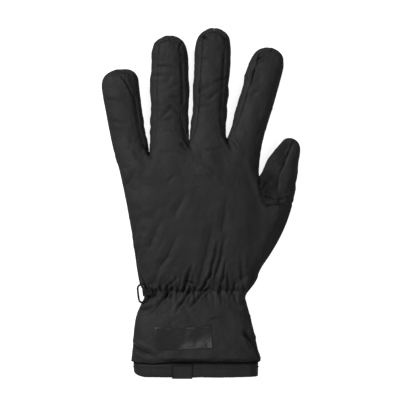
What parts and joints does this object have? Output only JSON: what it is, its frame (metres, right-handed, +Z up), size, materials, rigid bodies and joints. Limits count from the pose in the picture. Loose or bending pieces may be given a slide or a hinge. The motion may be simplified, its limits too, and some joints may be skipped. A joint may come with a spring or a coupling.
{
  "type": "fleece-lined glove",
  "caption": "Padded glove for the left hand: separate fingers, gathered waist, flared cuff with a hem band, plastic link and fleece lining.",
  "frame": {"origin": "Point on the resting plane under the middle of the palm, on the palm panel's flat underside.", "axes": "+Y runs from the cuff to the fingertips, +X points to the thumb's side, +Z points up out of the back of the hand."},
  "size_m": [0.1535, 0.2716, 0.0302],
  "materials": {
    "shell_cloth": "smooth matt woven nylon over padding",
    "thumb_cloth": "napped, rougher cloth",
    "binding": "ribbed woven tape",
    "fleece": "short brushed pile",
    "gloss_transfer": "thin glossy transfer, bare",
    "woven_label": "folded satin tape, bare",
    "black_plastic": "moulded, half gloss",
    "webbing": "narrow woven webbing"
  },
  "bodies": {
    "root": {"back_panel": "shell_cloth", "palm_panel": "shell_cloth", "fourchette_pinky_ring": "shell_cloth", "fourchette_ring_middle": "shell_cloth", "fourchette_middle_index": "shell_cloth", "thumb_outer": "shell_cloth", "thumb_inner": "thumb_cloth", "hem_band": "binding", "fleece_lining": "fleece", "transfer_patch": "gloss_transfer", "hem_label": "woven_label", "hook": "black_plastic", "hook_tab": "webbing"}
  },
  "joints": []
}
